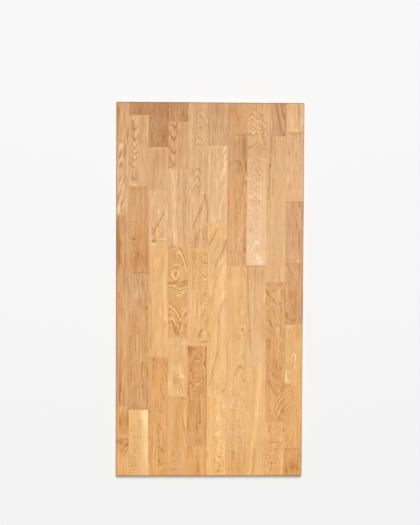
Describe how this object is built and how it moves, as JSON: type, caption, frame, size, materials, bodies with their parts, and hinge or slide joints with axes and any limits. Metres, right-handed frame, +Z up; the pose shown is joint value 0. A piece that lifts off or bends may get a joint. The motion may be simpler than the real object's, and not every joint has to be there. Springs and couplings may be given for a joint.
{
  "type": "solid oak tabletop",
  "caption": "Flat rectangular tabletop of solid oak staves, glued edge to edge and end to end, with eased edges and an oiled finish.",
  "frame": {"origin": "middle of the underside, so that the top lies on the level surface Z = 0", "axes": "+X across the staves, +Y along the grain, +Z up through the thickness"},
  "size_m": [0.6, 1.2, 0.026],
  "materials": {
    "oak_pale": "satin oiled oak",
    "oak_honey": "satin oiled oak",
    "oak_tan": "satin oiled oak",
    "oak_brown": "satin oiled oak"
  },
  "bodies": {
    "root": {"stave_a1": "oak_tan", "stave_a2": "oak_honey", "stave_a3": "oak_tan", "stave_a4": "oak_tan", "stave_b1": "oak_brown", "stave_b2": "oak_honey", "stave_b3": "oak_tan", "stave_b4": "oak_tan", "stave_b5": "oak_pale", "stave_c1": "oak_brown", "stave_c2": "oak_honey", "stave_c3": "oak_honey", "stave_c4": "oak_pale", "stave_c5": "oak_tan", "stave_d1": "oak_brown", "stave_d2": "oak_tan", "stave_d3": "oak_honey", "stave_d4": "oak_honey", "stave_d5": "oak_pale", "stave_d6": "oak_honey", "stave_d7": "oak_honey", "stave_e1": "oak_honey", "stave_e2": "oak_honey", "stave_e3": "oak_honey", "stave_e4": "oak_tan", "stave_e5": "oak_honey", "stave_f1": "oak_tan", "stave_f2": "oak_pale", "stave_f3": "oak_pale", "stave_f4": "oak_pale", "stave_g1": "oak_tan", "stave_g2": "oak_tan", "stave_g3": "oak_pale", "stave_g4": "oak_pale", "stave_h1": "oak_honey", "stave_h2": "oak_pale", "stave_h3": "oak_honey", "stave_h4": "oak_pale", "stave_i1": "oak_tan", "stave_i2": "oak_honey", "stave_i3": "oak_tan", "stave_i4": "oak_honey", "stave_j1": "oak_honey", "stave_j2": "oak_honey", "stave_j3": "oak_tan", "stave_j4": "oak_tan", "stave_j5": "oak_pale", "stave_j6": "oak_honey", "stave_j7": "oak_tan"}
  },
  "joints": []
}
